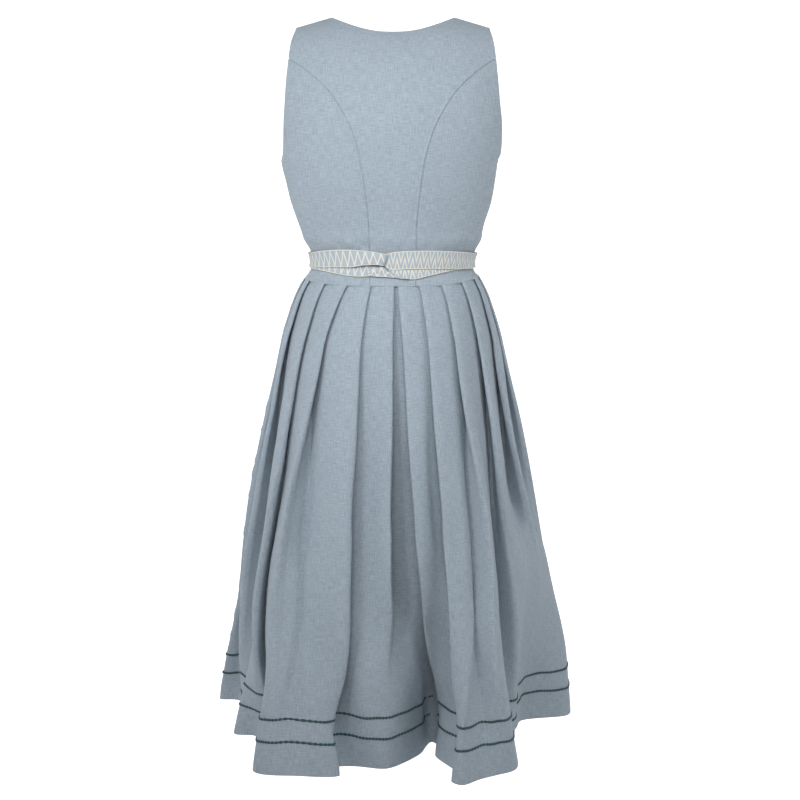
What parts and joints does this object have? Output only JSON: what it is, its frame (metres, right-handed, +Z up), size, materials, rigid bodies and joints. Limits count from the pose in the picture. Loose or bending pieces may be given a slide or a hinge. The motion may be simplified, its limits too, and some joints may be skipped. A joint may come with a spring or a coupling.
{
  "type": "dirndl",
  "caption": "Sleeveless knee-length folk dress with a panelled bodice, a full knife-pleated skirt and a narrow ribbon belt crossed at the back.",
  "frame": {"origin": "midway between the two neck points, on the line of the shoulder seams, where the wearer's shoulders hold the dress up", "axes": "+Z up, along the wearer's body; the dress's back faces -Y and its front faces +Y; +X is the wearer's right, which is on the right when the back is seen"},
  "size_m": [0.5612, 0.5762, 1.0765],
  "materials": {
    "linen": "matt grey-blue linen in a plain weave with fine slubs",
    "ribbon": "matt woven ribbon, ivory zigzag on pale grey-blue"
  },
  "bodies": {
    "root": {"bodice_back_centre": "linen", "bodice_back_side_left": "linen", "bodice_back_side_right": "linen", "bodice_front_side_left": "linen", "bodice_front_side_right": "linen", "bodice_front_left": "linen", "bodice_front_right": "linen", "skirt_back": "linen", "skirt_front": "linen", "belt_lower_right": "ribbon", "belt_upper_left": "ribbon", "belt_lower_left": "ribbon", "belt_upper_right": "ribbon"}
  },
  "joints": []
}
